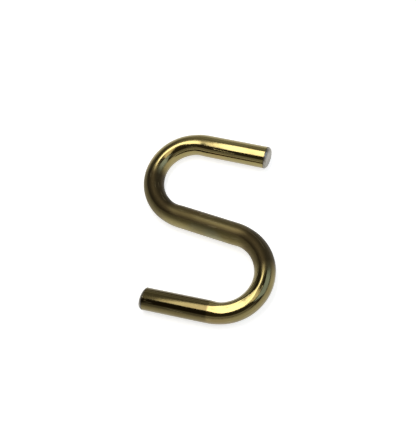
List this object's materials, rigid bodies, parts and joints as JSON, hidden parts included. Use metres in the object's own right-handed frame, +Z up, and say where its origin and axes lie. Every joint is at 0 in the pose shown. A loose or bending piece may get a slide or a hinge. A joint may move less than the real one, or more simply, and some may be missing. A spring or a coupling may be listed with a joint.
{
  "type": "s hook",
  "caption": "Open S hook bent from one round wire: a round hook at each end of a short slanted shank, with sheared, tumbled ends; joins a ring or chain to a bar.",
  "frame": {"origin": "under the middle of the shank, on the plane the flat-lying wire rests on", "axes": "+Y along the line of pull through both bend centres, to the upper hook; +Z up, across the flat S, so the S reads the right way round from above"},
  "size_m": [0.031, 0.0382, 0.0041],
  "materials": {
    "wire": "bright yellow plate or passivate on drawn steel wire, satin along the drawn lines"
  },
  "bodies": {
    "root": {"wire_hook": "wire"}
  },
  "joints": []
}
